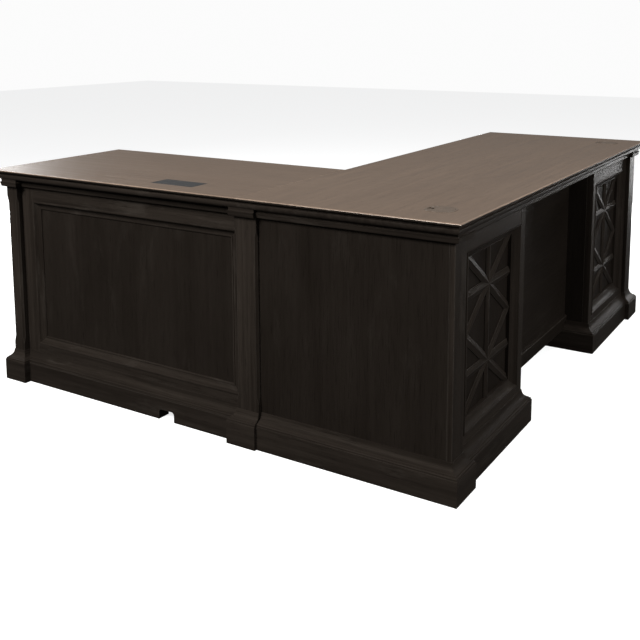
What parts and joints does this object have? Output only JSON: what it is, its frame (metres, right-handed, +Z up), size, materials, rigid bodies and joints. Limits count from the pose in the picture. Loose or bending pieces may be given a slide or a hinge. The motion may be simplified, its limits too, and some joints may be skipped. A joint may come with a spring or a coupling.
{
  "type": "corner desk",
  "caption": "L-shaped executive desk with star-lattice visitor panels, a recessed modesty panel, drawers, a cabinet return and a lidded power outlet.",
  "frame": {"origin": "centre of the bounding box, on the floor", "axes": "+Z up, the visitor's side faces -Y, and the return runs from the -X end towards +Y"},
  "size_m": [1.98, 1.778, 0.7635],
  "materials": {
    "black_wood": "black stained and lightly distressed wood, satin lacquer",
    "top_veneer": "satin dark brown-black veneer",
    "drawer_wood": "clear lacquered drawer sides",
    "bronze_pull": "dark bronze",
    "zinc_steel": "zinc plated steel",
    "black_plastic": "matt black moulded plastic"
  },
  "bodies": {
    "desk": {"corner_back_panel": "black_wood", "corner_post_left": "black_wood", "corner_post_right": "black_wood", "crown_left": "black_wood", "crown_right": "black_wood", "desk_side_left": "black_wood", "desk_side_right": "black_wood", "desk_top": "top_veneer", "door_hinges": "bronze_pull", "grommet_liners": "black_plastic", "knee_side_left": "black_wood", "knee_side_right": "black_wood", "lattice_left": "black_wood", "lattice_right": "black_wood", "modesty_panel": "black_wood", "outlet_housing": "black_plastic", "outlet_module": "black_plastic", "pedestal_face_frame": "black_wood", "plinth_left": "black_wood", "plinth_right": "black_wood", "return_back_board": "black_wood", "return_back_frame": "black_wood", "return_back_moulding": "black_wood", "return_crown": "black_wood", "return_end_panel": "black_wood", "return_face_frame": "black_wood", "return_partition": "black_wood", "return_pilaster": "black_wood", "return_plinth": "black_wood", "return_shelves": "drawer_wood", "return_top": "top_veneer", "slide_rails": "zinc_steel", "top_joining_plates": "zinc_steel", "visitor_apron": "black_wood", "visitor_board_left": "black_wood", "visitor_board_right": "black_wood", "visitor_frame_left": "black_wood", "visitor_frame_right": "black_wood", "visitor_moulding_left": "black_wood", "visitor_moulding_right": "black_wood"},
    "upper_drawer": {"upper_drawer_box": "drawer_wood", "upper_drawer_front": "black_wood", "upper_drawer_pull": "bronze_pull", "upper_drawer_runners": "zinc_steel"},
    "middle_drawer": {"middle_drawer_box": "drawer_wood", "middle_drawer_front": "black_wood", "middle_drawer_pull": "bronze_pull", "middle_drawer_runners": "zinc_steel"},
    "file_drawer": {"file_drawer_box": "drawer_wood", "file_drawer_front": "black_wood", "file_drawer_pull": "bronze_pull", "file_drawer_runners": "zinc_steel"},
    "centre_drawer": {"centre_drawer_box": "drawer_wood", "centre_drawer_front": "black_wood", "centre_drawer_runners": "zinc_steel"},
    "cabinet_door": {"cabinet_door": "black_wood", "cabinet_door_pull": "bronze_pull"},
    "outlet_lid": {"outlet_lid": "black_plastic"},
    "left_grommet_cap": {"grommet_cap_left": "black_plastic"},
    "right_grommet_cap": {"grommet_cap_right": "black_plastic"}
  },
  "joints": [
    {"name": "upper_drawer_slide", "type": "slide", "parent": "desk", "child": "upper_drawer", "axis": [0, 1, 0], "range_m": [0, 0.34]},
    {"name": "middle_drawer_slide", "type": "slide", "parent": "desk", "child": "middle_drawer", "axis": [0, 1, 0], "range_m": [0, 0.34]},
    {"name": "file_drawer_slide", "type": "slide", "parent": "desk", "child": "file_drawer", "axis": [0, 1, 0], "range_m": [0, 0.42]},
    {"name": "centre_drawer_slide", "type": "slide", "parent": "desk", "child": "centre_drawer", "axis": [0, 1, 0], "range_m": [0, 0.3]},
    {"name": "cabinet_door_hinge", "type": "hinge", "parent": "desk", "child": "cabinet_door", "pos_m": [-0.388, 0.766, 0.41], "axis": [0, 0, 1], "range_deg": [0, 105]},
    {"name": "outlet_lid_hinge", "type": "hinge", "parent": "desk", "child": "outlet_lid", "pos_m": [-0.9071, 0.125, 0.76], "axis": [0, -1, 0], "range_deg": [0, 95]},
    {"name": "left_grommet_cap_turn", "type": "hinge", "parent": "desk", "child": "left_grommet_cap", "pos_m": [-0.84, -0.767, 0.7618], "axis": [0, 0, 1], "continuous": true},
    {"name": "right_grommet_cap_turn", "type": "hinge", "parent": "desk", "child": "right_grommet_cap", "pos_m": [0.84, -0.767, 0.7618], "axis": [0, 0, 1], "continuous": true}
  ]
}
